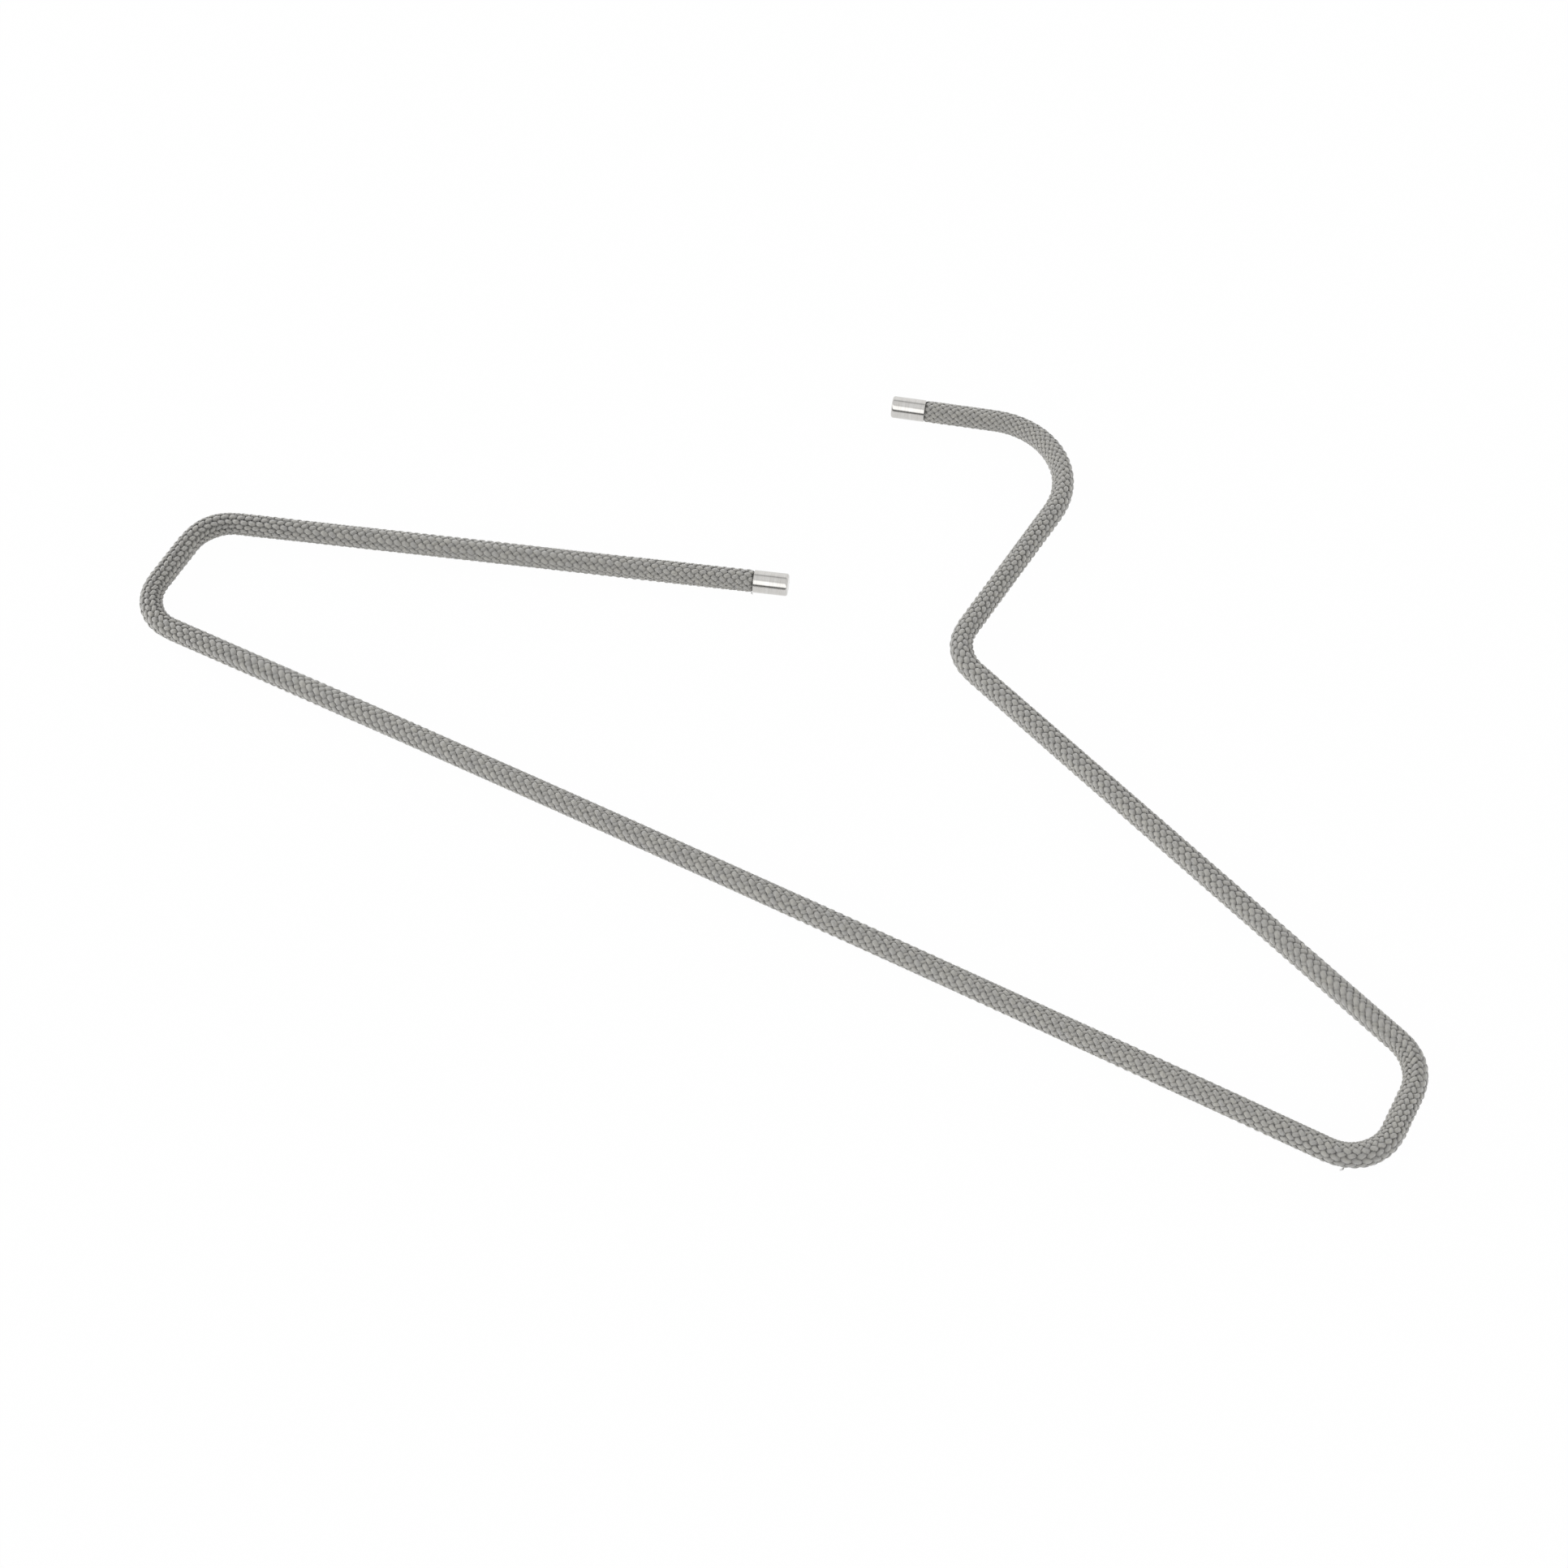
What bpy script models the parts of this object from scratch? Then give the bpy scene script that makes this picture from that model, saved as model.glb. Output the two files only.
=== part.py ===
"""Coat hanger: a steel rod bent in one plane, in a braided sleeve with a metal cap on each end.

The hanger lies flat. Seen from above, its bar runs along X and its hook is on the +Y side.
The origin is under the middle of the bar. Lengths are in metres.
"""

import math
from collections import namedtuple

import bmesh
import bpy
from mathutils import Matrix, Vector

# Section of the wire: a rod, and the sleeve round it
ROD_DIAMETER = 0.0040
ROD_CHAMFER = 0.0004
SLEEVE_WALL = 0.00135
SLEEVE_BUNCHING = 0.00022
SLEEVE_FLARE = 0.0012
SLEEVE_PRESSED_SHARE = 0.48
FIT_GAP = 0.0003

# Caps, drawn from sheet
CAP_LENGTH = 0.0112
CAP_WALL = 0.0004
CAP_END_WALL = 0.0005
CAP_EDGE_RADIUS = 0.0006
CAP_RIM_ROUNDING = 0.0001

# Bar and ears, given by the corners where straight runs of the middle line would meet
BAR_HALF_SPAN = 0.2105
BAR_BOW = 0.0014
BAR_ARC_SHARE = 0.88
EAR_FLARE = 0.0009
RIGHT_EAR_HEIGHT = 0.0382
LEFT_EAR_HEIGHT = 0.0422

# Arms, which slope down from one apex: the left one ends free, the right one turns up
APEX_HEIGHT = 0.1177
ARM_END_SETBACK = 0.0320
NECK_SETBACK = 0.0294

# Neck and hook
NECK_LENGTH = 0.1054
NECK_LEAN = math.radians(4.6)
HOOK_RADIUS = 0.0259
HOOK_TIP_LENGTH = 0.0735
HOOK_TIP_SLOPE = math.radians(17.3)

# Bends
BEND_RADIUS = 0.0141
LONGEST_REACH_SHARE = 0.96
STRAIGHT_ANGLE = math.radians(0.05)

# Fineness of the facets
SIDES = 20
BEND_STEP = math.radians(8)
LEAST_BEND_STEPS = 6
EDGE_STEPS = 4
SHARP_ANGLE = math.radians(35)

UP = Vector((0, 0, 1))

# A corner of the middle line, and the radius of the bend that rounds it
Corner = namedtuple("Corner", "point radius")

# A place on the middle line, the wire's direction there, and how far the sleeve bunches up
Station = namedtuple("Station", "point along bunching")


def rod_radius():
    return ROD_DIAMETER / 2


def sleeve_bore_radius():
    return rod_radius() + FIT_GAP


def sleeve_radius():
    return sleeve_bore_radius() + SLEEVE_WALL


def pressed_radius():
    """The sleeve's outer radius inside a cap, where its wall is squeezed thin."""
    return sleeve_bore_radius() + SLEEVE_WALL * SLEEVE_PRESSED_SHARE


def cap_bore_radius():
    return pressed_radius() + FIT_GAP


def cap_radius():
    return cap_bore_radius() + CAP_WALL


def wire_height():
    """Height of the middle line over the surface that the hanger lies on."""
    return max(sleeve_radius(), cap_radius())


def in_plane(x, y):
    return Vector((x, y, wire_height()))


def heading(angle):
    """The direction in the hanger's plane at an angle from the bar's."""
    return Vector((math.cos(angle), math.sin(angle), 0))


def toward(start, end, distance):
    return start + (end - start).normalized() * distance


def bar_rise():
    """Height of the corner at the bar's middle, which the long arc rounds down to the bow."""
    return BAR_BOW / (1 - BAR_ARC_SHARE / 2)


def bar_arc_radius():
    return BAR_ARC_SHARE * BAR_HALF_SPAN**2 / bar_rise()


def wire_corners():
    """Corners of the middle line, from the hook's tip to the left arm's free end."""
    foot = -BAR_BOW
    ear = BAR_HALF_SPAN + EAR_FLARE
    right_foot = in_plane(BAR_HALF_SPAN, foot)
    left_foot = in_plane(-BAR_HALF_SPAN, foot)
    right_ear = in_plane(ear, foot + RIGHT_EAR_HEIGHT)
    left_ear = in_plane(-ear, foot + LEFT_EAR_HEIGHT)
    bar_middle = in_plane(0, foot + bar_rise())
    apex = in_plane(0, foot + APEX_HEIGHT)
    arm_end = toward(apex, left_ear, ARM_END_SETBACK)
    neck_foot = toward(apex, right_ear, NECK_SETBACK)
    crown = neck_foot + heading(math.pi / 2 - NECK_LEAN) * NECK_LENGTH
    hook_tip = crown - heading(HOOK_TIP_SLOPE) * HOOK_TIP_LENGTH
    return [
        Corner(hook_tip, 0),
        Corner(crown, HOOK_RADIUS),
        Corner(neck_foot, BEND_RADIUS),
        Corner(right_ear, BEND_RADIUS),
        Corner(right_foot, BEND_RADIUS),
        Corner(bar_middle, bar_arc_radius()),
        Corner(left_foot, BEND_RADIUS),
        Corner(left_ear, BEND_RADIUS),
        Corner(arm_end, 0),
    ]


def bend_reaches(corners):
    """How much of its two runs each bend takes up, drawn in where a run is too short."""
    cap_hold = CAP_LENGTH + SLEEVE_FLARE
    points = [corner.point for corner in corners]
    runs = [after - before for before, after in zip(points, points[1:])]
    wanted = [cap_hold]
    for corner, into, out in zip(corners[1:], runs, runs[1:]):
        wanted.append(corner.radius * math.tan(into.angle(out) / 2))
    wanted.append(cap_hold)
    rooms = []
    for run, here, there in zip(runs, wanted, wanted[1:]):
        rooms.append(min(run.length * LONGEST_REACH_SHARE / (here + there), 1))
    return [reach * min(sides) for reach, sides in zip(wanted[1:], zip(rooms, rooms[1:]))]


def bend(before, corner, after, reach):
    """Stations round the arc that joins two runs at a corner."""
    into = (corner - before).normalized()
    out = (after - corner).normalized()
    turn = into.angle(out)
    if turn < STRAIGHT_ANGLE:
        return [Station(corner, into, 0)]
    radius = reach / math.tan(turn / 2)
    centre = corner + (out - into).normalized() * radius / math.cos(turn / 2)
    start = corner - into * reach - centre
    steps = max(math.ceil(turn / BEND_STEP), LEAST_BEND_STEPS)
    stations = []
    for step in range(steps + 1):
        turned = Matrix.Rotation(turn * step / steps, 3, into.cross(out))
        bunching = SLEEVE_BUNCHING * math.sin(math.pi * step / steps) * BEND_RADIUS / radius
        stations.append(Station(centre + turned @ start, turned @ into, bunching))
    return stations


def wire_line():
    """Stations along the whole wire: both free ends, and round every bend."""
    corners = wire_corners()
    points = [corner.point for corner in corners]
    line = [Station(points[0], (points[1] - points[0]).normalized(), 0)]
    for index, reach in enumerate(bend_reaches(corners)):
        line += bend(*points[index : index + 3], reach)
    line.append(Station(points[-1], (points[-1] - points[-2]).normalized(), 0))
    return line


def slid(station, distance):
    return station._replace(point=station.point + station.along * distance)


def ring(station, radius):
    """Corners of a section square to the wire, whose flat sides lie at the radius."""
    side = station.along.cross(UP)
    corner_radius = radius / math.cos(math.pi / SIDES)
    points = []
    for index in range(SIDES):
        angle = math.tau * (index + 0.5) / SIDES
        spoke = side * math.cos(angle) + UP * math.sin(angle)
        points.append(station.point + spoke * corner_radius)
    return points


def wire_rings(line, end_steps, radius):
    """Rings along the wire. Each end follows steps of distance from its tip and radius."""
    first, *bends, last = line
    rings = [ring(slid(first, distance), step) for distance, step in end_steps]
    rings += [ring(station, radius + station.bunching) for station in bends]
    rings += [ring(slid(last, -distance), step) for distance, step in reversed(end_steps)]
    return rings


def unbunched(line):
    return [station._replace(bunching=0) for station in line]


def lain(rings):
    """The rings with what would be under the floor pressed flat onto it."""
    return [[Vector((x, y, max(z, 0))) for x, y, z in points] for points in rings]


def lofted(name, rings, hollow=False):
    """One closed mesh through the rings: filled at both ends, or hollow and joined end to end."""
    shape = bmesh.new()
    loops = [[shape.verts.new(point) for point in points] for points in rings]
    if hollow:
        loops.append(loops[0])
    else:
        shape.faces.new(loops[0])
        shape.faces.new(loops[-1])
    for here, there in zip(loops, loops[1:]):
        sides = zip(here, here[1:] + here[:1], there[1:] + there[:1], there)
        for corners in sides:
            shape.faces.new(corners)
    bmesh.ops.recalc_face_normals(shape, faces=shape.faces)
    mesh = bpy.data.meshes.new(name)
    shape.to_mesh(mesh)
    shape.free()
    mesh.shade_smooth()
    mesh.set_sharp_from_angle(angle=SHARP_ANGLE)
    return mesh


def rod_mesh(line):
    """The rod, with both ends chamfered and just short of the caps' end walls."""
    start = CAP_END_WALL + FIT_GAP
    end_steps = [(start, rod_radius() - ROD_CHAMFER), (start + ROD_CHAMFER, rod_radius())]
    return lofted("rod", wire_rings(unbunched(line), end_steps, rod_radius()))


def sleeve_mesh(line):
    """The sleeve: pressed thin inside the caps, full outside, fatter round the bends."""
    start = CAP_END_WALL + FIT_GAP
    flare_end = CAP_LENGTH + SLEEVE_FLARE
    end_steps = [
        (start, pressed_radius()),
        (CAP_LENGTH, pressed_radius()),
        (flare_end, sleeve_radius()),
    ]
    outside = wire_rings(line, end_steps, sleeve_radius())
    bore = wire_rings(unbunched(line), [(start, sleeve_bore_radius())], sleeve_bore_radius())
    return lofted("sleeve", lain(outside) + bore[::-1], hollow=True)


def cap_mesh():
    """A drawn cup along X: its closed end at the origin, its mouth at +X."""
    outer = cap_radius()
    profile = []
    for step in range(EDGE_STEPS + 1):
        angle = math.pi / 2 * step / EDGE_STEPS
        depth = CAP_EDGE_RADIUS * (1 - math.cos(angle))
        profile.append((depth, outer - CAP_EDGE_RADIUS * (1 - math.sin(angle))))
    profile.append((CAP_LENGTH - CAP_RIM_ROUNDING, outer))
    profile.append((CAP_LENGTH, outer - CAP_RIM_ROUNDING))
    profile.append((CAP_LENGTH, cap_bore_radius()))
    profile.append((CAP_END_WALL, cap_bore_radius()))
    tip = Station(Vector(), Vector((1, 0, 0)), 0)
    return lofted("cap", [ring(slid(tip, depth), radius) for depth, radius in profile])


def finish(name, colour, roughness, metallic):
    material = bpy.data.materials.new(name)
    material.use_nodes = True
    shader = material.node_tree.nodes["Principled BSDF"]
    shader.inputs["Base Color"].default_value = (*colour, 1)
    shader.inputs["Roughness"].default_value = roughness
    shader.inputs["Metallic"].default_value = metallic
    material.diffuse_color = (*colour, 1)
    return material


def add_part(name, mesh, material, hanger):
    part = bpy.data.objects.new(name, mesh)
    if not mesh.materials:
        mesh.materials.append(material)
    part.parent = hanger
    bpy.context.scene.collection.objects.link(part)
    return part


def put_on(cap, tip, inward):
    """Sets a cap on a free end of the wire, with its mouth facing inward."""
    cap.location = tip
    cap.rotation_euler = (0, 0, math.atan2(inward.y, inward.x))


def clear_scene():
    for leftover in list(bpy.data.objects):
        bpy.data.objects.remove(leftover, do_unlink=True)


def build():
    clear_scene()
    hanger = bpy.data.objects.new("coat_hanger", None)
    bpy.context.scene.collection.objects.link(hanger)

    core_steel = finish("core_steel", (0.45, 0.45, 0.46), 0.45, 1)
    grey_braid = finish("grey_braid", (0.34, 0.335, 0.32), 0.92, 0)
    cap_steel = finish("cap_steel", (0.62, 0.61, 0.59), 0.3, 1)

    line = wire_line()
    add_part("core_rod", rod_mesh(line), core_steel, hanger)
    add_part("braided_sleeve", sleeve_mesh(line), grey_braid, hanger)

    cup = cap_mesh()
    hook_cap = add_part("hook_cap", cup, cap_steel, hanger)
    put_on(hook_cap, line[0].point, line[0].along)
    arm_cap = add_part("arm_cap", cup, cap_steel, hanger)
    put_on(arm_cap, line[-1].point, -line[-1].along)


build()
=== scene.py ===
"""Looks of the coat hanger: a plump two-way braid of grey yarn over the rod, and brushed steel caps."""

import math
from collections import namedtuple

import bpy
import numpy as np
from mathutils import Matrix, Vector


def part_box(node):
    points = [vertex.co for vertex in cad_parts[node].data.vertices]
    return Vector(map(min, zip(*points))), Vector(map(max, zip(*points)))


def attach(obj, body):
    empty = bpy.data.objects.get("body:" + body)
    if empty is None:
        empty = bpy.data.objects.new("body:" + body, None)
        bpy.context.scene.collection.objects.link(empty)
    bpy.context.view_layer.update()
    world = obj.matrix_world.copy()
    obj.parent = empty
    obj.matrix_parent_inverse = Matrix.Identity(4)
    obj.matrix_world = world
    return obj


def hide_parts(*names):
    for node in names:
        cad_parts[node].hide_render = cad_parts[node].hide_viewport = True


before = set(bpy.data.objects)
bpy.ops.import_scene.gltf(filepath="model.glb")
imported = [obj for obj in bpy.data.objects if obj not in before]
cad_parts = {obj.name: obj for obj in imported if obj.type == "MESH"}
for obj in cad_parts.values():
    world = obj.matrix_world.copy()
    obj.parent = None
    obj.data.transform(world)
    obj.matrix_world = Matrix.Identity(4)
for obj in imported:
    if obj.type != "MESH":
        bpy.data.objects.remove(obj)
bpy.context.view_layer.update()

MM = 0.001
SEED = 11

# The wire's middle line: corners where straight runs would meet, as in the solids
BAR_HALF_SPAN = 210.5 * MM
BAR_BOW = 1.4 * MM
BAR_ARC_SHARE = 0.88
EAR_FLARE = 0.9 * MM
RIGHT_EAR_HEIGHT = 38.2 * MM
LEFT_EAR_HEIGHT = 42.2 * MM
APEX_HEIGHT = 117.7 * MM
ARM_END_SETBACK = 32.0 * MM
NECK_SETBACK = 29.4 * MM
NECK_LENGTH = 105.4 * MM
NECK_LEAN = math.radians(4.6)
HOOK_RADIUS = 25.9 * MM
HOOK_TIP_LENGTH = 73.5 * MM
HOOK_TIP_SLOPE = math.radians(17.3)
BEND_RADIUS = 14.1 * MM
ROUTE_STEP = 0.05 * MM

# Section of the wire. Inside the caps the braid is pressed to a share of its wall.
WIRE_HEIGHT = sum(corner.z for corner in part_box("hook_cap")) / 2
BORE_RADIUS = 2.02 * MM
BRAID_RADIUS = 3.71 * MM
BRAID_WALL = BRAID_RADIUS - BORE_RADIUS
BUNCHING = 0.22 * MM
PRESSED_SHARE = 0.48

# Yarns: as many run one way round as the other, and each goes over one and under one. Each
# wobbles a little, with a knot at every other crossing, and has its grain shifted along it by up
# to so many millimetres.
YARNS_EACH_WAY = 10
YARN_SIDES = 12
STEPS_PER_CROSSING = 6
YARN_TWIST = 14 * MM
YARN_WOBBLE = math.radians(1.2)
WOBBLE_KNOTS = 500
GRAIN_SHIFT = 1000
SECOND_WAVE_SHARE = 0.3

# Height of the weave, as shares of half a yarn's thickness, and how fast a bend that stretches
# the braid flattens it. A float is the stretch of a yarn that lies over another.
RELIEF_SHARE = 0.84
BEND_FLATTENING = 2.0
PLUMP_SHARE = 0.1
FLOAT_BIAS = 0.3

# A row as wide as LOOSE_ROW leaves its yarn room, and one as narrow as PACKED_ROW packs it tight.
# Between them go how far it sways at a crossing, how flat its floats are, how wide it is under
# another yarn, and how much wider it is where it dives.
LOOSE_ROW = math.radians(24)
PACKED_ROW = math.radians(17)
LOOSE_SWAY = 0.8
PACKED_SWAY = 0.2
LOOSE_FLAT = 1.2
PACKED_FLAT = 0.6
LOOSE_UNDER_WIDTH = 1.2 * MM
PACKED_UNDER_WIDTH = 1.45 * MM
LOOSE_WIDENING = 0.28
PACKED_WIDENING = 0.1

# Width of a float as a share of its row. In packed rows the yarns of one way stand proud and wide,
# and the others sink between them. No yarn is wider than a share of the pitch.
LOOSE_WIDTH = 0.92
PROUD_WIDTH = 1.35
SUNK_WIDTH = 0.95
SUNK_DEPTH = 0.12 * MM
YARN_WIDTH_BY_PITCH = 0.56

# Where the proud yarns run straight, as slanted stripes: they stay up and wide, and the others low
PROUD_STRAIGHTENING = 0.7
PROUD_LEVEL = 0.7
SUNK_FALL = 0.3
STRAIGHT_WIDENING = 0.2
STRAIGHT_WIDTH_BY_PITCH = 0.72

# Where the braid has gaps: its yarns are slimmer and sway more
GAP_NARROWING = 0.05
GAP_SLIMMING = 0.5
GAP_SWAY = 0.25

# Yarn's finish. Flank tones are painted shade: they go by height in the braid's wall, from the bore to
# the outside, darker lower down.
FLANK_PAINTED_SHADE_TONES = ((0.6, (0.22, 0.216, 0.203)), (0.92, (0.457, 0.45, 0.423)))
STREAK_TONES = ((0.3, (0.88, 0.88, 0.88)), (0.7, (1, 1, 1)))
PATCH_TONES = ((0.3, (0.86, 0.86, 0.88)), (0.7, (1, 0.99, 0.96)))
STREAK_GRAIN = (7, 7, 0.7)
PATCH_GRAIN = (0.5, 0.5, 0.25)
YARN_ROUGHNESS = (0.8, 0.95)
STREAK_DEPTH = 0.04 * MM
YARN_SHEEN = 1.0
YARN_SHEEN_ROUGHNESS = 0.5

# Finish of the metal
CAP_TONES = ((0.3, (0.62, 0.605, 0.58)), (0.7, (0.68, 0.67, 0.65)))
CAP_MARK_TONES = ((0.35, (0.86, 0.86, 0.86)), (0.6, (1, 1, 1)))
CAP_MARK_GRAIN = (9, 0.6, 0.6)
CAP_BLOTCH_GRAIN = (0.5, 1.2, 1.2)
CAP_ROUGHNESS = (0.1, 0.2)
CAP_MARK_DEPTH = 0.01 * MM
ROD_TONES = ((0.3, (0.3, 0.3, 0.31)), (0.7, (0.42, 0.42, 0.43)))
ROD_GRAIN = (900, 900, 900)
ROD_ROUGHNESS = (0.35, 0.55)
NOISE_ROUGHNESS = 0.6
BUMP_STRENGTH = 0.25

# Caps, where the sleeve starts inside them, and how far it takes to fill out past their rims
CAP_LENGTH = 11.2 * MM
CAP_RADIUS = 3.648 * MM
CAP_WALL = 0.4 * MM
CAP_END_WALL = 0.5 * MM
CAP_EDGE_RADIUS = 0.75 * MM
CAP_RIM_RADIUS = 0.12 * MM
CAP_FACE_SHARES = (0.2, 0.6)
CAP_SIDES = 96
EDGE_STEPS = 8
SLEEVE_START = 0.8 * MM
FLARE = 1.2 * MM

# How the braid lies at places along the wire, in millimetres and degrees: the length of a pair of
# crossings, a row's number and where it lies round the wire, where the rows are widest, and how
# much wider they are there. Odd rows are those of the yarns that wind back towards 0 degrees.
# proud_way is 1 where the yarns that wind on stand proud, -1 where those that wind back do, and
# further from 0 where the proud ones also run straighter. gaps says how open the braid is.
Lie = namedtuple("Lie", "place pitch row row_angle widest unevenness proud_way gaps", defaults=(0,))
BRAID_LIE = (
    Lie(0, 2.66, 1, 97, 240, 0.08, 0),
    Lie(26, 2.66, 1, 97, 230, 0.08, 0),
    Lie(56, 2.60, 1, 110, 178, 0.25, 0),
    Lie(84, 2.60, 1, 113, 153, 0.4, -1, 0.3),
    Lie(102, 2.53, 1, 107, 153, 0.4, -1, 0.5),
    Lie(126, 2.50, 1, 94, 138, 0.4, -1, 0.5),
    Lie(156, 2.72, 1, 78, 118, 0.4, -1),
    Lie(186, 2.70, 1, 82, 123, 0.4, -1),
    Lie(221, 2.66, 1, 78, 118, 0.4, -1),
    Lie(262, 2.60, 1, 70, 118, 0.45, -1.1),
    Lie(302, 2.57, 1, 65, 123, 0.4, -1.5),
    Lie(322, 2.40, 1, 72, 118, 0.4, -1.8),
    Lie(345, 2.12, 1, 77, 118, 0.4, -1.4),
    Lie(366, 2.15, 1, 57, 138, 0.4, -1),
    Lie(390, 2.64, 5, 143, 188, 0.4, -1),
    Lie(426, 2.60, 5, 128, 203, 0.28, -1),
    Lie(476, 2.68, 5, 105, 203, 0.28, -1.1),
    Lie(526, 2.76, 7, 125, 203, 0.28, -1.2),
    Lie(581, 2.83, 9, 137, 190, 0.3, -1.3),
    Lie(626, 2.72, 9, 137, 190, 0.3, -1.3),
    Lie(676, 2.74, 9, 140, 186, 0.3, -1.3),
    Lie(716, 2.67, 9, 118, 138, 0.35, -1.3),
    Lie(751, 2.62, 9, 93, 113, 0.4, -1.7),
    Lie(778, 2.50, 9, 97, 98, 0.4, -1.2, 0.5),
    Lie(808, 2.25, 9, 60, 75, 0.5, -1, 1),
    Lie(845, 2.68, 9, 63, 97, 0.48, -1, 1),
    Lie(876, 2.71, 9, 50, 88, 0.36, -1.4, 0.4),
    Lie(921, 2.70, 9, 43, 115, 0.3, -1.5, 0.2),
    Lie(956, 2.67, 9, 30, 115, 0.3, -1.4, 0.2),
    Lie(991, 2.62, 9, 12, 115, 0.33, -1),
    Lie(1023, 2.66, 9, 5, 115, 0.3, -1),
)

# Small tufts of broken fibres: place and length in millimetres, the angle round the wire, and how
# many millimetres the tips lean along it. Their fibres' roots lie so many millimetres deep, and
# they spread by so many millimetres and degrees.
Tuft = namedtuple("Tuft", "name place angle lean length")
TUFTS = (
    Tuft("loose_fibres_on_bend", 385.0, 200, 0.8, 1.0),
    Tuft("loose_fibres_at_cap", 1011.4, -32, 0.2, 0.7),
)
FIBRES_IN_TUFT = 9
FIBRE_RADIUS = 0.05 * MM
FIBRE_TAPER = 0.6
FIBRE_ROOT = 0.6
FIBRE_LEAN_SPREAD = 0.3
FIBRE_TURN_SPREAD = 5
SHORTEST_FIBRE_SHARE = 0.5
FIBRE_SIDES = 6
FIBRE_STEPS = 7

# Camera and studio. What sees the floor sees this share of it as plain white, and the rest lit.
CAMERA_PLACE = (210.46 * MM, -357.36 * MM, 679.45 * MM)
CAMERA_TILT = math.radians(33.36)
CAMERA_TURN = math.radians(27.62)
CAMERA_LENS = 60.65
SENSOR_WIDTH = 36
FLOOR_HALF = 4.0
FLOOR_DROP = 0.05 * MM
FLOOR_COLOUR = (0.9, 0.9, 0.9, 1)
FLOOR_GLOW_SHARE = 0.985
WORLD_FILL = 0.3
SOFTBOX_AIM = (0.05, 0.05, 0)
SOFTBOX_SIZE = (1.8, 0.6)
SOFTBOXES = (
    ("front_softbox", (0.5, -1.05, 0.45), 7.2),
    ("back_softbox", (0.45, 1.3, 0.6), 9.2),
    ("left_softbox", (-1.8, -0.1, 0.6), 30),
    ("right_softbox", (1.05, -0.15, 0.5), 2.4),
)

# The light panels as the metal sees them: degrees overhead, from the front horizon over the top
# to the back, and the brightness there. Dark lines are the gaps between panels.
PANELS_BRIGHTEST = 1.7
STUDIO_PANELS = (
    (0, 0.55),
    (7, 0.09),
    (17, 0.06),
    (26, 1.0),
    (56, 1.0),
    (66, 0.48),
    (78, 0.57),
    (108, 0.55),
    (121, 0.26),
    (134, 0.62),
    (180, 0.66),
)


def heading_vector(angle):
    return np.array([math.cos(angle), math.sin(angle)])


def toward(start, end, distance):
    return start + (end - start) / np.linalg.norm(end - start) * distance


def wire_corners():
    """Corners of the middle line and their bends' radii, from the hook's tip to the arm's end."""
    foot = -BAR_BOW
    ear = BAR_HALF_SPAN + EAR_FLARE
    right_ear = np.array([ear, foot + RIGHT_EAR_HEIGHT])
    left_ear = np.array([-ear, foot + LEFT_EAR_HEIGHT])
    apex = np.array([0, foot + APEX_HEIGHT])
    rise = BAR_BOW / (1 - BAR_ARC_SHARE / 2)
    neck_foot = toward(apex, right_ear, NECK_SETBACK)
    crown = neck_foot + heading_vector(math.pi / 2 - NECK_LEAN) * NECK_LENGTH
    hook_tip = crown - heading_vector(HOOK_TIP_SLOPE) * HOOK_TIP_LENGTH
    return [
        (hook_tip, 0),
        (crown, HOOK_RADIUS),
        (neck_foot, BEND_RADIUS),
        (right_ear, BEND_RADIUS),
        (np.array([BAR_HALF_SPAN, foot]), BEND_RADIUS),
        (np.array([0, foot + rise]), BAR_ARC_SHARE * BAR_HALF_SPAN**2 / rise),
        (np.array([-BAR_HALF_SPAN, foot]), BEND_RADIUS),
        (left_ear, BEND_RADIUS),
        (toward(apex, left_ear, ARM_END_SETBACK), 0),
    ]


def midway(values):
    return (values[1:] + values[:-1]) / 2


Route = namedtuple("Route", "distance x y heading turning bunching")


def follow_route():
    """The middle line at even steps. Its heading is steady on a run and turns evenly in a bend."""
    corners = wire_corners()
    points = [point for point, _ in corners]
    runs = [after - before for before, after in zip(points, points[1:])]
    headings = [math.atan2(run[1], run[0]) for run in runs]
    turns = [(b - a + math.pi) % math.tau - math.pi for a, b in zip(headings, headings[1:])]
    reaches = [radius * math.tan(abs(turn) / 2) for turn, (_, radius) in zip(turns, corners[1:])]
    knots = [0.0]
    knot_headings = [headings[0]]
    bunched = [0.0]
    bunching = [0.0]
    used = 0.0
    for run, turn, reach, (_, radius) in zip(runs, turns, reaches, corners[1:]):
        bend_start = knots[-1] + np.linalg.norm(run) - used - reach
        bend_end = bend_start + abs(turn) * radius
        knots += [bend_start, bend_end]
        knot_headings += [knot_headings[-1], knot_headings[-1] + turn]
        bunched += [bend_start, (bend_start + bend_end) / 2, bend_end]
        bunching += [0, BUNCHING * BEND_RADIUS / radius, 0]
        used = reach
    knots.append(knots[-1] + np.linalg.norm(runs[-1]) - used)
    knot_headings.append(knot_headings[-1])
    distance = np.arange(0, knots[-1], ROUTE_STEP)
    heading = np.interp(distance, knots, knot_headings)
    x = points[0][0] + np.concatenate([[0], np.cumsum(np.cos(midway(heading)))]) * ROUTE_STEP
    y = points[0][1] + np.concatenate([[0], np.cumsum(np.sin(midway(heading)))]) * ROUTE_STEP
    turning = np.gradient(heading, ROUTE_STEP)
    return Route(distance, x, y, heading, turning, np.interp(distance, bunched, bunching))


route = follow_route()
WIRE_LENGTH = route.distance[-1]


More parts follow.
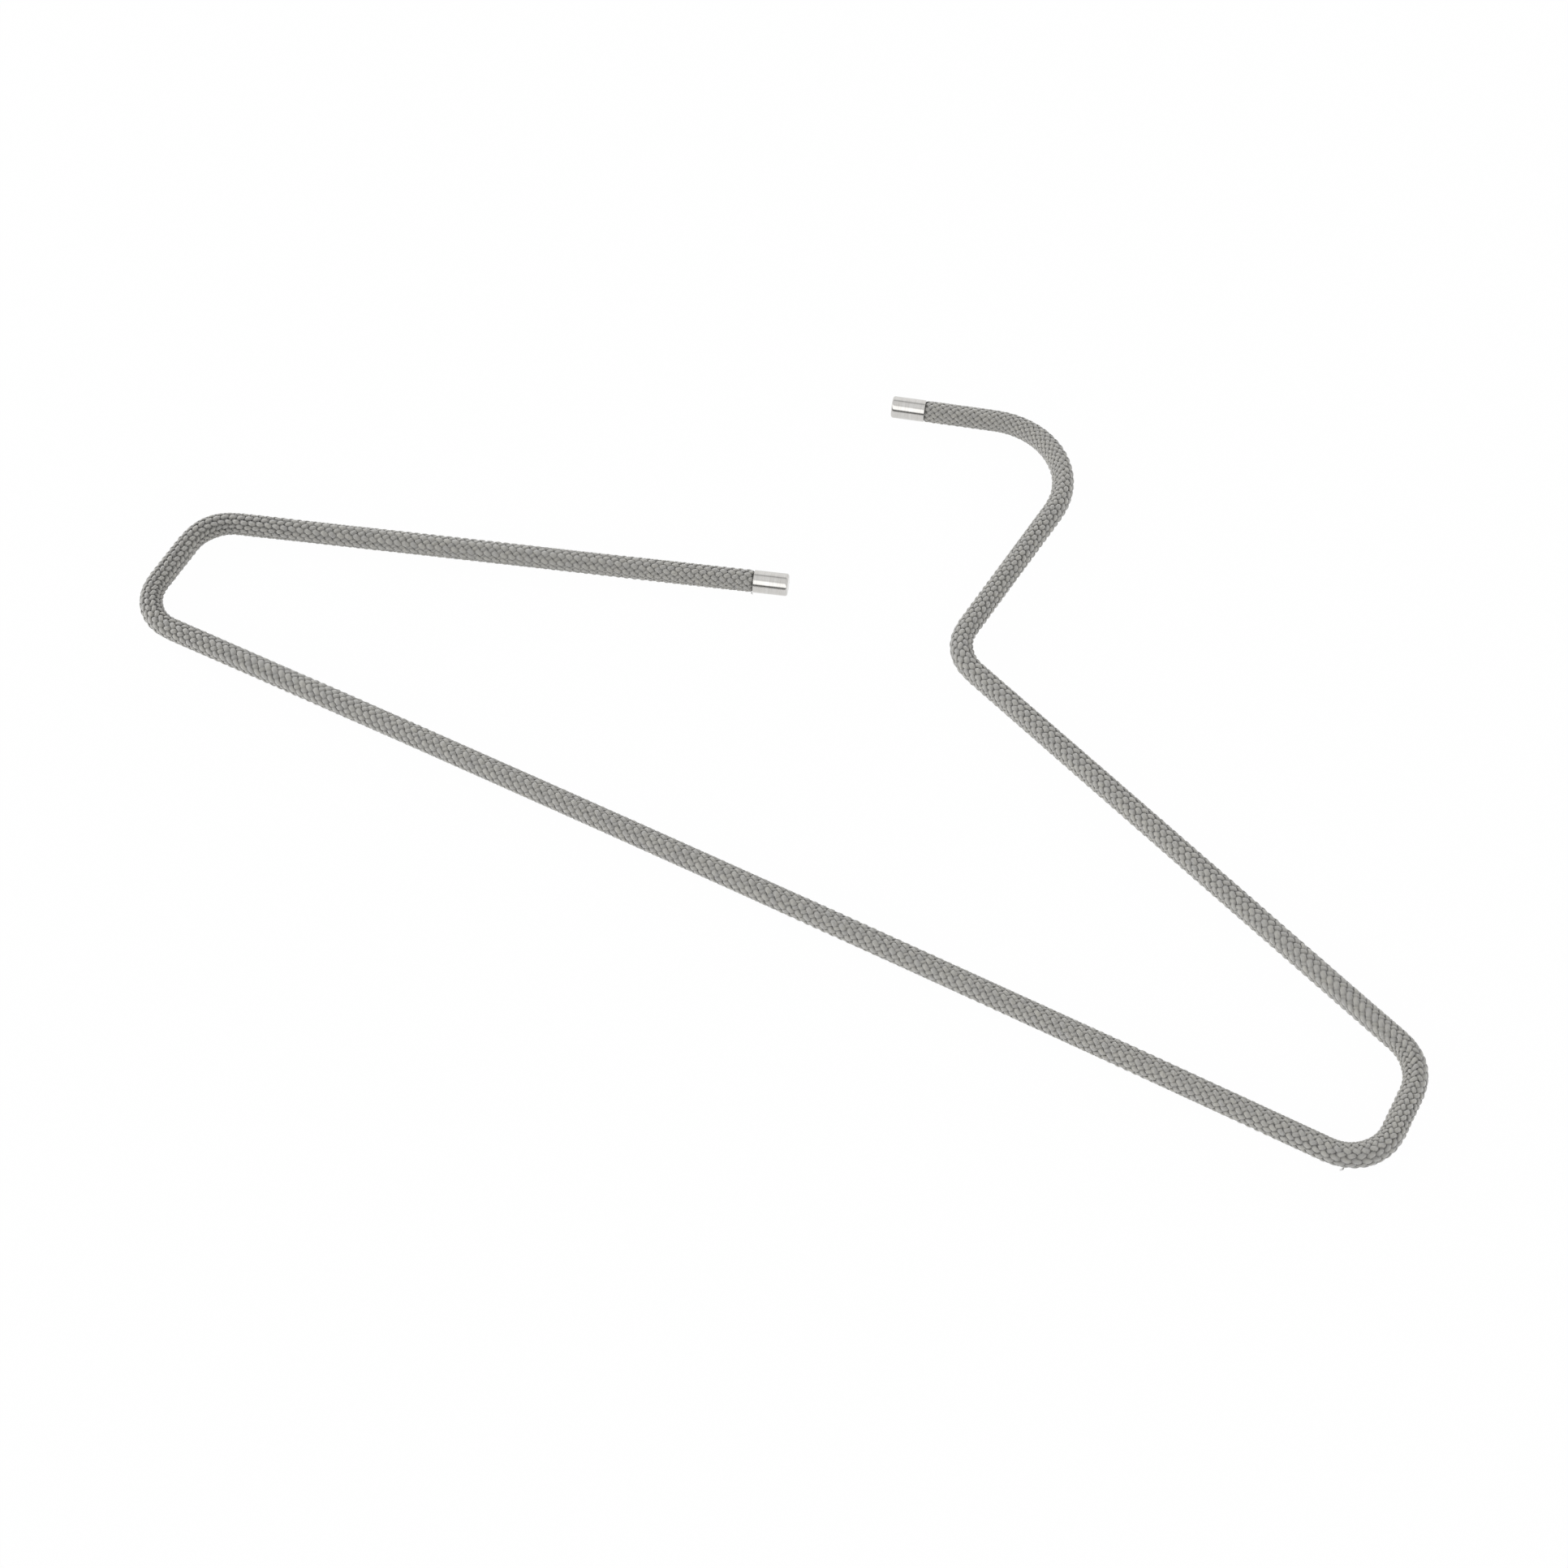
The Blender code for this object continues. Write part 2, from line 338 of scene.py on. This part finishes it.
def round_wire(distance, angle, radius):
    """Points round the wire, at an angle that is 0 on the loop's inner side and 90 degrees on top."""
    x = np.interp(distance, route.distance, route.x)
    y = np.interp(distance, route.distance, route.y)
    heading = np.interp(distance, route.distance, route.heading)
    reach = radius * np.cos(angle)
    return np.stack(
        [
            x + reach * np.sin(heading),
            y - reach * np.cos(heading),
            WIRE_HEIGHT + radius * np.sin(angle),
        ],
        axis=-1,
    )


def rows_spread(even_angle, widest, unevenness):
    """Where rows lie that would lie at even angles if they weren't wider on one side of the wire."""
    past = even_angle - widest
    return even_angle + unevenness * (np.sin(past) + SECOND_WAVE_SHARE * np.sin(2 * past))


def row_width(even_angle, widest, unevenness):
    past = even_angle - widest
    spread = 1 + unevenness * (np.cos(past) + 2 * SECOND_WAVE_SHARE * np.cos(2 * past))
    return math.pi / YARNS_EACH_WAY * spread


def row_turn(lie):
    """The even angle of row 0 at a place, from where a row of known number lies."""
    even = np.radians(np.arange(-360, 360))
    seen = rows_spread(even, math.radians(lie.widest), lie.unevenness)
    return np.interp(math.radians(lie.row_angle), seen, even) - lie.row * math.pi / YARNS_EACH_WAY


LIE_CURVES = {
    "pitch": [lie.pitch * MM for lie in BRAID_LIE],
    "turn": [row_turn(lie) for lie in BRAID_LIE],
    "widest": [math.radians(lie.widest) for lie in BRAID_LIE],
    "unevenness": [lie.unevenness for lie in BRAID_LIE],
    "proud_way": [lie.proud_way for lie in BRAID_LIE],
    "gaps": [lie.gaps for lie in BRAID_LIE],
}


def lie_along(distance, name):
    """How the braid lies, eased between the places of the table."""
    places = np.array([lie.place for lie in BRAID_LIE]) * MM
    values = np.array(LIE_CURVES[name])
    index = np.clip(np.searchsorted(places, distance) - 1, 0, len(places) - 2)
    share = np.clip((distance - places[index]) / (places[index + 1] - places[index]), 0, 1)
    eased = share * share * (3 - 2 * share)
    return values[index] + (values[index + 1] - values[index]) * eased


def normalised(vectors):
    return vectors / np.linalg.norm(vectors, axis=-1, keepdims=True)


def tube_mesh(name, tubes, surface):
    """One mesh of tubes, each given as its rings and filled at both ends. The surface holds, by
    name, what the materials read at each point: a number or a vector."""
    points = []
    faces = []
    for rings in tubes:
        count, sides = rings.shape[:2]
        grid = len(points) + np.arange(count * sides).reshape(count, sides)
        following = np.roll(grid, -1, axis=1)
        quads = np.stack([grid[:-1], following[:-1], following[1:], grid[1:]], axis=-1)
        faces += quads.reshape(-1, 4).tolist()
        faces += [grid[0][::-1].tolist(), grid[-1].tolist()]
        points += rings.reshape(-1, 3).tolist()
    mesh = bpy.data.meshes.new(name)
    mesh.from_pydata(points, [], faces)
    mesh.shade_smooth()
    for attribute_name, values in surface.items():
        is_vector = values.ndim == 3
        kind, key = ("FLOAT_VECTOR", "vector") if is_vector else ("FLOAT", "value")
        attribute = mesh.attributes.new(attribute_name, kind, "POINT")
        attribute.data.foreach_set(key, values.ravel())
    return mesh


def wall_share(distance):
    """How much of its full thickness the braid has: little inside the caps, all outside."""
    from_end = np.minimum(distance, WIRE_LENGTH - distance)
    share = np.clip((from_end - CAP_LENGTH) / FLARE, 0, 1)
    return PRESSED_SHARE + (1 - PRESSED_SHARE) * share * (2 - share)


def crossings_along():
    """The number of crossing pairs from the wire's start, at each of the route's steps."""
    pitch = lie_along(route.distance, "pitch")
    return np.concatenate([[0], np.cumsum(ROUTE_STEP / midway(pitch))])


def blended(low, high, share):
    return low + (high - low) * share


def swept(centre, across, outward, half_width, half_height, around):
    """Oval rings round a path: as wide across it and as high outward as is given at each step."""
    return (
        centre[:, None]
        + across[:, None] * (half_width[:, None] * np.cos(around))[..., None]
        + outward[:, None] * (half_height[:, None] * np.sin(around))[..., None]
    )


# What shapes a yarn at each step along it: the width of its row, how loose and how straight it
# lies, whether it is one of the proud ones, how open the braid is, its height in the weave from
# about -1, under another yarn, to 1, over it, and the length of a pair of crossings.
Yarn = namedtuple("Yarn", "row_width looseness straightness proud_share gaps over pitch")


def over_and_under(crossing, looseness):
    flat = blended(PACKED_FLAT, LOOSE_FLAT, looseness)
    over = np.tanh(flat * crossing) / np.tanh(flat)
    return over + FLOAT_BIAS * (1 - over**2)


def weave_level(yarn):
    """The height in the weave. Where proud yarns run straight they stay up, and the others low."""
    proud_rise = PROUD_STRAIGHTENING * (PROUD_LEVEL - yarn.over) * yarn.proud_share
    sunk_fall = SUNK_FALL * (1 + yarn.over) * (1 - yarn.proud_share)
    return yarn.over + yarn.straightness * (proud_rise - sunk_fall)


def yarn_half_width(yarn):
    """Wide on a float, narrow under another yarn, and widest where it dives, to close the hole."""
    packed_width = blended(SUNK_WIDTH, PROUD_WIDTH, yarn.proud_share)
    packed_width += STRAIGHT_WIDENING * yarn.straightness * (2 * yarn.proud_share - 1)
    float_width = yarn.row_width * BRAID_RADIUS * blended(packed_width, LOOSE_WIDTH, yarn.looseness)
    straight_proud = yarn.straightness * yarn.proud_share
    widest = yarn.pitch * blended(YARN_WIDTH_BY_PITCH, STRAIGHT_WIDTH_BY_PITCH, straight_proud)
    float_width = np.minimum(float_width, widest)
    under_width = blended(PACKED_UNDER_WIDTH, LOOSE_UNDER_WIDTH, yarn.looseness)
    under_width = blended(under_width, float_width, straight_proud)
    under_width = np.minimum(under_width, widest)
    half_width = blended(under_width, float_width, (1 + yarn.over) / 2) / 2
    widening = blended(PACKED_WIDENING, LOOSE_WIDENING, yarn.looseness)
    widening *= 1 - GAP_SLIMMING * yarn.gaps
    half_width = half_width * (1 + widening * (1 - yarn.over**2))
    return half_width * (1 - GAP_NARROWING * yarn.gaps)


def yarn_rings(direction, number, pairs_along, wobble):
    """Rings round one yarn, which winds one way and goes over and under the others in turn, and
    what its material reads at their points."""
    pair_step = 1 / (2 * STEPS_PER_CROSSING)
    start = np.interp(SLEEVE_START, route.distance, pairs_along)
    end = np.interp(WIRE_LENGTH - SLEEVE_START, route.distance, pairs_along)
    pairs = np.arange(start, end, pair_step)
    distance = np.interp(pairs, pairs_along, route.distance)
    row = 2 * number + direction * 2 * pairs
    lie = {name: lie_along(distance, name) for name in LIE_CURVES}
    even_angle = row * math.pi / YARNS_EACH_WAY + lie["turn"]
    width_there = row_width(even_angle, lie["widest"], lie["unevenness"])
    straightness = np.clip(abs(lie["proud_way"]) - 1, 0, 1)
    looseness = np.clip((width_there - PACKED_ROW) / (LOOSE_ROW - PACKED_ROW), 0, 1) ** 2
    looseness *= 1 - straightness

    # It sways towards the next row's yarn that it passes, and winds less evenly than it should
    sway = blended(PACKED_SWAY, LOOSE_SWAY + GAP_SWAY * lie["gaps"], looseness)
    sway = sway / math.pi * np.sin(math.pi * row)
    even_angle -= direction * sway * math.pi / YARNS_EACH_WAY
    angle = rows_spread(even_angle, lie["widest"], lie["unevenness"])
    angle += YARN_WOBBLE * wobble(pairs)
    turning = np.interp(distance, route.distance, route.turning)
    stretch = 1 + turning * BRAID_RADIUS * np.cos(angle)
    yarn = Yarn(
        row_width=width_there,
        looseness=looseness,
        straightness=straightness,
        proud_share=(1 + direction * np.clip(lie["proud_way"], -1, 1)) / 2,
        gaps=lie["gaps"],
        over=over_and_under(direction * np.cos(math.pi * row), looseness),
        pitch=lie["pitch"] * stretch,
    )

    # The wall is two yarns thick, so a quarter of it is half a yarn. A float reaches its outside.
    quarter_wall = BRAID_WALL * wall_share(distance) / 4
    bunching = np.interp(distance, route.distance, route.bunching)
    half_height = quarter_wall * (1 + PLUMP_SHARE * yarn.over)
    middle = BORE_RADIUS + quarter_wall * (3 - PLUMP_SHARE - RELIEF_SHARE) + bunching
    relief = RELIEF_SHARE * (1 - BEND_FLATTENING * np.clip(stretch - 1, 0, 1))
    sunk = SUNK_DEPTH * (1 - yarn.proud_share) * (1 - looseness)
    radius = middle + relief * quarter_wall * weave_level(yarn) - sunk

    centre = round_wire(distance, angle, radius)
    spoke = normalised(round_wire(distance, angle, radius + MM) - centre)
    along = normalised(np.gradient(centre, axis=0))
    outward = normalised(spoke - (spoke * along).sum(-1, keepdims=True) * along)
    across = np.cross(along, outward)
    around = np.arange(YARN_SIDES) * math.tau / YARN_SIDES
    rings = swept(centre, across, outward, yarn_half_width(yarn), half_height, around)
    rings[..., 2] = np.maximum(rings[..., 2], 0)

    # Height in the wall, which the material turns into painted shade on the yarns' flanks
    height = radius[:, None] + half_height[:, None] * np.sin(around) - BORE_RADIUS
    height = (height - bunching[:, None]) / BRAID_WALL
    twisted = around + distance[:, None] * math.tau / YARN_TWIST
    along_yarn = np.broadcast_to(distance[:, None] / MM, twisted.shape)
    fibre = np.stack([np.cos(twisted), np.sin(twisted), along_yarn], axis=-1)
    return rings, {"fibre": fibre, "height": height}


def make_wobble(random):
    """A smooth random curve, about 1 high, along a yarn."""
    knots = random.normal(size=WOBBLE_KNOTS)
    return lambda pairs: np.interp(pairs, np.arange(WOBBLE_KNOTS), knots)


def put_in_scene(name, mesh, material, node):
    piece = bpy.data.objects.new(name, mesh)
    bpy.context.scene.collection.objects.link(piece)
    mesh.materials.append(material)
    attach(piece, "root")
    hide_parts(node)
    return piece


def new_material(name):
    material = bpy.data.materials.new(name)
    material.use_nodes = True
    return material, material.node_tree.nodes, material.node_tree.links


def add_attribute(nodes, name):
    node = nodes.new("ShaderNodeAttribute")
    node.attribute_name = name
    return node


def add_noise(nodes, links, vector, stretch, detail):
    """Noise whose grain is finer by each factor of stretch along x, y and z."""
    mapping = nodes.new("ShaderNodeMapping")
    mapping.inputs["Scale"].default_value = stretch
    links.new(vector, mapping.inputs["Vector"])
    noise = nodes.new("ShaderNodeTexNoise")
    noise.inputs["Scale"].default_value = 1
    noise.inputs["Detail"].default_value = detail
    noise.inputs["Roughness"].default_value = NOISE_ROUGHNESS
    links.new(mapping.outputs[0], noise.inputs["Vector"])
    return noise.outputs[0]


def add_ramp(nodes, links, factor, stops):
    ramp = nodes.new("ShaderNodeValToRGB")
    links.new(factor, ramp.inputs[0])
    elements = ramp.color_ramp.elements
    while len(elements) < len(stops):
        elements.new(1)
    for element, (position, colour) in zip(elements, stops):
        element.position = position
        element.color = (*colour, 1)
    return ramp.outputs[0]


def add_product(nodes, links, one, other):
    """The product of two colours, which a Mix node takes at its sockets 6 and 7."""
    mix = nodes.new("ShaderNodeMix")
    mix.data_type = "RGBA"
    mix.blend_type = "MULTIPLY"
    mix.inputs[0].default_value = 1
    links.new(one, mix.inputs[6])
    links.new(other, mix.inputs[7])
    return mix.outputs[2]


def add_roughness(nodes, links, grain, span, shader):
    """Roughness that goes up with the grain, from one end of its span to the other."""
    roughness = nodes.new("ShaderNodeMapRange")
    roughness.inputs["To Min"].default_value, roughness.inputs["To Max"].default_value = span
    links.new(grain, roughness.inputs["Value"])
    links.new(roughness.outputs[0], shader.inputs["Roughness"])


def add_bump(nodes, links, height, depth, shader):
    bump = nodes.new("ShaderNodeBump")
    bump.inputs["Strength"].default_value = BUMP_STRENGTH
    bump.inputs["Distance"].default_value = depth
    links.new(height, bump.inputs["Height"])
    links.new(bump.outputs[0], shader.inputs["Normal"])


def yarn_material():
    """Grey filament yarn: streaks along its twist, tones that change from place to place, and painted
    shade, darker flanks where its neighbours keep the light off it."""
    material, nodes, links = new_material("grey_yarn")
    shader = nodes["Principled BSDF"]
    shader.inputs["Sheen Weight"].default_value = YARN_SHEEN
    shader.inputs["Sheen Roughness"].default_value = YARN_SHEEN_ROUGHNESS
    fibre = add_attribute(nodes, "fibre").outputs["Vector"]
    height = add_attribute(nodes, "height").outputs["Fac"]
    streaks = add_noise(nodes, links, fibre, STREAK_GRAIN, detail=3)
    patches = add_noise(nodes, links, fibre, PATCH_GRAIN, detail=2)
    # Painted shade: the base colour is darker lower in the wall, on the flanks between neighbouring
    # yarns
    tone = add_ramp(nodes, links, height, FLANK_PAINTED_SHADE_TONES)
    streak_tone = add_ramp(nodes, links, streaks, STREAK_TONES)
    patch_tone = add_ramp(nodes, links, patches, PATCH_TONES)
    colour = add_product(nodes, links, tone, streak_tone)
    colour = add_product(nodes, links, colour, patch_tone)
    links.new(colour, shader.inputs["Base Color"])
    add_roughness(nodes, links, streaks, YARN_ROUGHNESS, shader)
    add_bump(nodes, links, streaks, STREAK_DEPTH, shader)
    return material


def cap_material():
    """Drawn steel, polished on a lathe: very fine turning marks and a few faint blotches."""
    material, nodes, links = new_material("brushed_cap_steel")
    shader = nodes["Principled BSDF"]
    shader.inputs["Metallic"].default_value = 1
    turned = add_attribute(nodes, "turned").outputs["Vector"]
    marks = add_noise(nodes, links, turned, CAP_MARK_GRAIN, detail=4)
    blotches = add_noise(nodes, links, turned, CAP_BLOTCH_GRAIN, detail=3)
    tone = add_ramp(nodes, links, blotches, CAP_TONES)
    mark_tone = add_ramp(nodes, links, marks, CAP_MARK_TONES)
    colour = add_product(nodes, links, tone, mark_tone)
    links.new(colour, shader.inputs["Base Color"])
    add_roughness(nodes, links, marks, CAP_ROUGHNESS, shader)
    add_bump(nodes, links, marks, CAP_MARK_DEPTH, shader)
    return material


def rod_material():
    """Drawn rod: dull steel with a fine grain. The braid hides it."""
    material, nodes, links = new_material("drawn_rod_steel")
    shader = nodes["Principled BSDF"]
    shader.inputs["Metallic"].default_value = 1
    place = nodes.new("ShaderNodeTexCoord").outputs["Object"]
    grain = add_noise(nodes, links, place, ROD_GRAIN, detail=3)
    links.new(add_ramp(nodes, links, grain, ROD_TONES), shader.inputs["Base Color"])
    add_roughness(nodes, links, grain, ROD_ROUGHNESS, shader)
    return material


def make_braid(material):
    random = np.random.default_rng(SEED)
    pairs_along = crossings_along()
    for direction, way in ((1, "left"), (-1, "right")):
        for number in range(YARNS_EACH_WAY):
            rings, surface = yarn_rings(direction, number, pairs_along, make_wobble(random))
            surface["fibre"][..., 2] += random.uniform(0, GRAIN_SHIFT)
            name = f"yarn_{way}_{number + 1:02d}"
            mesh = tube_mesh(name, [rings], surface)
            put_in_scene(name, mesh, material, "braided_sleeve")


def fibre_rings(tuft, random):
    """Rings round one loose fibre, which bends from inside the braid to its own free end."""
    reach = np.linspace(0, 1, FIBRE_STEPS)
    lean = tuft.lean + random.normal(0, FIBRE_LEAN_SPREAD)
    turn = math.radians(random.normal(0, FIBRE_TURN_SPREAD))
    length = tuft.length * random.uniform(SHORTEST_FIBRE_SHARE, 1)
    distance = (tuft.place + lean * reach**2) * MM
    angle = math.radians(tuft.angle) + turn * reach
    radius = BRAID_RADIUS + ((length + FIBRE_ROOT) * reach - FIBRE_ROOT) * MM
    centre = round_wire(distance, angle, radius)
    along = normalised(np.gradient(centre, axis=0))
    across = normalised(np.cross(along, (0, 0, 1)))
    outward = np.cross(across, along)
    thickness = FIBRE_RADIUS * (1 - FIBRE_TAPER * reach)
    around = np.arange(FIBRE_SIDES) * math.tau / FIBRE_SIDES
    return swept(centre, across, outward, thickness, thickness, around)


def make_tufts(material):
    random = np.random.default_rng(SEED)
    for tuft in TUFTS:
        tubes = [fibre_rings(tuft, random) for _ in range(FIBRES_IN_TUFT)]
        points = FIBRES_IN_TUFT * FIBRE_STEPS * FIBRE_SIDES
        # Height 1, so the fibres take the top tone and no painted shade
        surface = {"fibre": np.zeros((points, 1, 3)), "height": np.ones((points, 1))}
        mesh = tube_mesh(tuft.name, tubes, surface)
        put_in_scene(tuft.name, mesh, material, "braided_sleeve")


def arc_profile(depth, radius, size, start, end):
    """Points of a profile round an arc of a size, about a middle at a depth and radius."""
    angles = np.linspace(start, end, EDGE_STEPS + 1)
    return [(depth + size * math.cos(angle), radius + size * math.sin(angle)) for angle in angles]


def cap_profile():
    """Depth from the closed end, and radius, from the end face's middle to the bore's end."""
    outer = CAP_RADIUS
    edge = CAP_EDGE_RADIUS
    rim = CAP_RIM_RADIUS
    bore = outer - CAP_WALL
    inner_edge = edge - CAP_WALL
    inner_depth = CAP_END_WALL + inner_edge
    profile = [(0, share * outer) for share in CAP_FACE_SHARES]
    profile += arc_profile(edge, outer - edge, edge, math.pi, math.pi / 2)
    profile += arc_profile(CAP_LENGTH - rim, outer - rim, rim, math.pi / 2, 0)
    profile += arc_profile(CAP_LENGTH - rim, bore + rim, rim, 0, -math.pi / 2)
    profile += arc_profile(inner_depth, bore - inner_edge, inner_edge, math.pi / 2, math.pi)
    profile.append((CAP_END_WALL, CAP_FACE_SHARES[0] * bore))
    return np.array(profile)


def make_cap(name, node, material, at_start):
    """A drawn cup on the wire's start or end, with its closed end outward."""
    profile = cap_profile()
    around = np.arange(CAP_SIDES) * math.tau / CAP_SIDES
    if not at_start:
        around = -around
    depth, radius, angle = np.broadcast_arrays(profile[:, :1], profile[:, 1:], around)
    distance = depth if at_start else WIRE_LENGTH - depth
    rings = round_wire(distance, angle, radius)
    turned = np.stack([depth / MM, np.cos(angle), np.sin(angle)], axis=-1)
    put_in_scene(name, tube_mesh(name, [rings], {"turned": turned}), material, node)


def is_seen(nodes, links):
    """1 for rays from the camera, off metal or through glass, which show the studio itself."""
    path = nodes.new("ShaderNodeLightPath")
    total = path.outputs["Is Camera Ray"]
    for kind in ("Is Glossy Ray", "Is Transmission Ray"):
        either = nodes.new("ShaderNodeMath")
        either.operation = "MAXIMUM"
        links.new(total, either.inputs[0])
        links.new(path.outputs[kind], either.inputs[1])
        total = either.outputs[0]
    return total


def make_floor():
    """The floor glows white for what sees it, except for a small share that keeps the shadow."""
    material, nodes, links = new_material("white_floor")
    shader = nodes["Principled BSDF"]
    shader.inputs["Base Color"].default_value = FLOOR_COLOUR
    shader.inputs["Roughness"].default_value = 1
    shader.inputs["Specular IOR Level"].default_value = 0
    glow = nodes.new("ShaderNodeEmission")
    glow.inputs["Strength"].default_value = 1
    blend = nodes.new("ShaderNodeMixShader")
    share = nodes.new("ShaderNodeMath")
    share.operation = "MULTIPLY"
    share.inputs[1].default_value = FLOOR_GLOW_SHARE
    links.new(is_seen(nodes, links), share.inputs[0])
    links.new(share.outputs[0], blend.inputs[0])
    links.new(shader.outputs[0], blend.inputs[1])
    links.new(glow.outputs[0], blend.inputs[2])
    links.new(blend.outputs[0], nodes["Material Output"].inputs["Surface"])
    mesh = bpy.data.meshes.new("floor")
    corners = [(-1, -1), (1, -1), (1, 1), (-1, 1)]
    points = [(x * FLOOR_HALF, y * FLOOR_HALF, -FLOOR_DROP) for x, y in corners]
    mesh.from_pydata(points, [], [(0, 1, 2, 3)])
    mesh.materials.append(material)
    floor = bpy.data.objects.new("floor", mesh)
    bpy.context.scene.collection.objects.link(floor)


def add_background(nodes, strength):
    background = nodes.new("ShaderNodeBackground")
    background.inputs["Color"].default_value = (1, 1, 1, 1)
    background.inputs["Strength"].default_value = strength
    return background


def make_world():
    """An even white fill. The camera sees plain white, and the metal sees the light panels
    overhead, with the darker gaps between them."""
    world = bpy.data.worlds.new("studio")
    bpy.context.scene.world = world
    world.use_nodes = True
    nodes, links = world.node_tree.nodes, world.node_tree.links
    nodes.clear()
    way = nodes.new("ShaderNodeSeparateXYZ")
    links.new(nodes.new("ShaderNodeTexCoord").outputs["Generated"], way.inputs[0])
    swing = nodes.new("ShaderNodeMath")
    swing.operation = "ARCTAN2"
    links.new(way.outputs["Y"], swing.inputs[0])
    links.new(way.outputs["Z"], swing.inputs[1])
    overhead = nodes.new("ShaderNodeMapRange")
    overhead.inputs["From Min"].default_value = -math.pi / 2
    overhead.inputs["From Max"].default_value = math.pi / 2
    links.new(swing.outputs[0], overhead.inputs["Value"])
    stops = tuple((degrees / 180, (level, level, level)) for degrees, level in STUDIO_PANELS)
    panels = add_ramp(nodes, links, overhead.outputs[0], stops)
    fill = add_background(nodes, WORLD_FILL)
    white = add_background(nodes, 1)
    studio = add_background(nodes, PANELS_BRIGHTEST)
    links.new(panels, studio.inputs["Color"])
    path = nodes.new("ShaderNodeLightPath")
    for_metal = nodes.new("ShaderNodeMixShader")
    for_all = nodes.new("ShaderNodeMixShader")
    output = nodes.new("ShaderNodeOutputWorld")
    links.new(path.outputs["Is Camera Ray"], for_metal.inputs[0])
    links.new(studio.outputs[0], for_metal.inputs[1])
    links.new(white.outputs[0], for_metal.inputs[2])
    links.new(is_seen(nodes, links), for_all.inputs[0])
    links.new(fill.outputs[0], for_all.inputs[1])
    links.new(for_metal.outputs[0], for_all.inputs[2])
    links.new(for_all.outputs[0], output.inputs[0])


def add_softbox(name, place, aim, size, power):
    light = bpy.data.lights.new(name, "AREA")
    light.shape = "RECTANGLE"
    light.size, light.size_y = size
    light.energy = power
    lamp = bpy.data.objects.new(name, light)
    bpy.context.scene.collection.objects.link(lamp)
    lamp.location = place
    lamp.visible_glossy = False
    facing = Vector(aim) - Vector(place)
    lamp.rotation_euler = facing.to_track_quat("-Z", "Y").to_euler()


def make_camera():
    data = bpy.data.cameras.new("camera")
    data.lens = CAMERA_LENS
    data.sensor_width = SENSOR_WIDTH
    camera = bpy.data.objects.new("camera", data)
    camera.location = CAMERA_PLACE
    camera.rotation_euler = (CAMERA_TILT, 0, CAMERA_TURN)
    bpy.context.scene.collection.objects.link(camera)
    bpy.context.scene.camera = camera


make_camera()
make_world()
make_floor()
for name, place, power in SOFTBOXES:
    add_softbox(name, place, SOFTBOX_AIM, SOFTBOX_SIZE, power)
grey_yarn = yarn_material()
make_braid(grey_yarn)
make_tufts(grey_yarn)
cap_steel = cap_material()
make_cap("hook_cap_cup", "hook_cap", cap_steel, at_start=True)
make_cap("arm_cap_cup", "arm_cap", cap_steel, at_start=False)
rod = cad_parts["core_rod"]
rod.data.materials.clear()
rod.data.materials.append(rod_material())

bpy.context.scene.view_settings.view_transform = "Standard"
